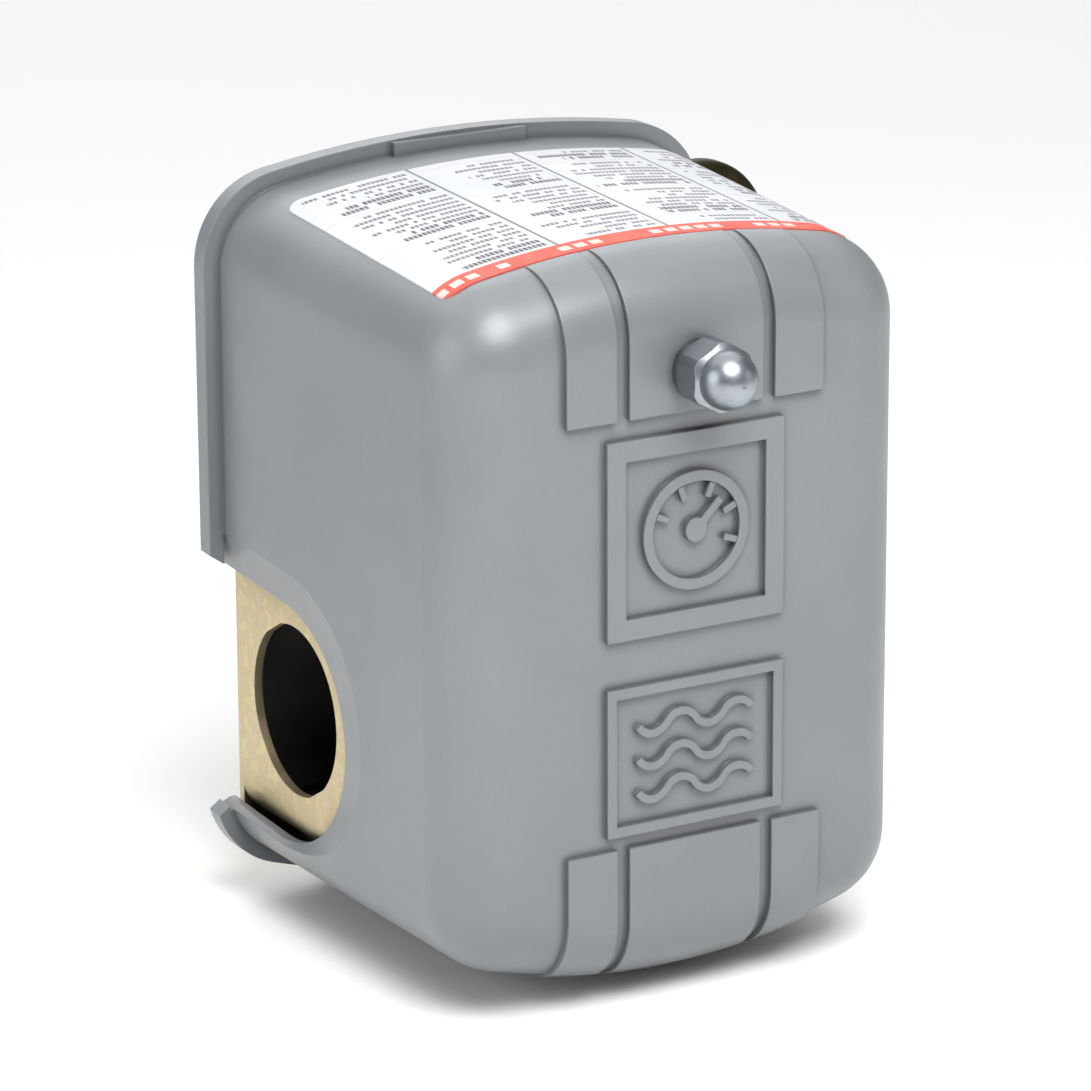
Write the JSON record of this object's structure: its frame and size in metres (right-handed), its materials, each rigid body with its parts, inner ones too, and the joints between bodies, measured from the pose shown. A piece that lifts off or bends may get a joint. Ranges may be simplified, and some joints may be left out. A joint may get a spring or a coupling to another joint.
{
  "type": "pressure switch",
  "caption": "Pump pressure switch with a lift-off moulded cover, side conduit openings, a rear pipe thread and adjustable springs inside.",
  "frame": {"origin": "centre of the pipe thread's mouth, behind the base plate", "axes": "+Y out of the pipe thread's mouth, away from the switch; -Y is the side with the cover's face and acorn nut; +Z towards the range stud end; X across the width"},
  "size_m": [0.0838, 0.0909, 0.0977],
  "materials": {
    "cover_plastic": "satin grey moulding",
    "label_film": "printed film",
    "zinc_steel": "bright zinc plating",
    "dichromate_steel": "yellow dichromate zinc plating",
    "rubber": "matt",
    "spring_steel": "oiled wire",
    "phenolic": "black phenolic moulding",
    "carrier_plastic": "brown-red phenolic moulding",
    "brass": "bright",
    "silver": "silver contact",
    "green_screw": "green lacquer"
  },
  "bodies": {
    "base": {"base_frame": "dichromate_steel", "pressure_flange": "dichromate_steel", "diaphragm": "rubber", "plunger_guide": "dichromate_steel", "flange_screws": "zinc_steel", "range_stud": "zinc_steel", "stud_lock_nut": "zinc_steel", "differential_stud": "zinc_steel", "terminal_block": "phenolic", "terminal_plates": "brass", "terminal_clamps": "zinc_steel", "terminal_screws": "brass", "block_screws": "zinc_steel", "ground_screws": "green_screw", "fixed_contacts": "silver", "pivot_pin": "zinc_steel", "pin_clips": "spring_steel", "carrier_pins": "zinc_steel", "range_spring": "spring_steel", "differential_spring": "spring_steel", "toggle_spring": "spring_steel"},
    "cover": {"cover": "cover_plastic", "cover_label": "label_film"},
    "cap_nut": {"acorn_nut": "zinc_steel"},
    "plunger": {"plunger": "zinc_steel"},
    "lever": {"lever": "dichromate_steel", "spring_seat": "zinc_steel", "differential_seat": "zinc_steel"},
    "carrier": {"contact_carrier": "carrier_plastic", "contact_bridges": "brass", "moving_contacts": "silver", "contact_springs": "spring_steel"},
    "range_adjuster": {"range_washer": "zinc_steel"},
    "range_nut": {"range_nut": "zinc_steel"},
    "differential_adjuster": {"differential_washer": "zinc_steel"},
    "differential_nut": {"differential_nut": "zinc_steel"}
  },
  "joints": [
    {"name": "cover_slide", "type": "slide", "parent": "base", "child": "cover", "axis": [0, -1, 0], "range_m": [0, 0.07]},
    {"name": "acorn_nut_unscrew", "type": "slide", "parent": "cover", "child": "cap_nut", "axis": [0, -1, 0], "range_m": [0, 0.012]},
    {"name": "lever_tilt", "type": "hinge", "parent": "base", "child": "lever", "pos_m": [0, -0.0275, -0.014], "axis": [1, 0, 0], "range_deg": [0, 3.2], "stiffness_Nm_per_rad": 0.6, "springref_deg": -11.46, "deforming": ["range_spring", "differential_spring", "toggle_spring"]},
    {"name": "plunger_travel", "type": "slide", "parent": "base", "child": "plunger", "axis": [0, -1, 0], "range_m": [0, 0.0008]},
    {"name": "contact_snap", "type": "hinge", "parent": "base", "child": "carrier", "pos_m": [0, -0.055, -0.008], "axis": [-1, 0, 0], "range_deg": [0, 10.6]},
    {"name": "range_adjust", "type": "slide", "parent": "base", "child": "range_adjuster", "axis": [0, -1, 0], "range_m": [-0.004, 0.004]},
    {"name": "range_nut_turn", "type": "hinge", "parent": "range_adjuster", "child": "range_nut", "pos_m": [0, -0.062, 0.0321], "axis": [0, -1, 0], "range_deg": [-1820, 1820]},
    {"name": "differential_adjust", "type": "slide", "parent": "base", "child": "differential_adjuster", "axis": [0, -1, 0], "range_m": [-0.0025, 0.0025]},
    {"name": "differential_nut_turn", "type": "hinge", "parent": "differential_adjuster", "child": "differential_nut", "pos_m": [0, -0.043, 0.0155], "axis": [0, -1, 0], "range_deg": [-1140, 1140]}
  ],
  "couplings": [
    {"joint": "plunger_travel", "follows": "lever_tilt", "m_per_rad": 0.014},
    {"joint": "contact_snap", "follows": "lever_tilt", "ratio": 3.28},
    {"joint": "range_nut_turn", "follows": "range_adjust", "rad_per_m": 7915.8},
    {"joint": "differential_nut_turn", "follows": "differential_adjust", "rad_per_m": 7915.8}
  ]
}
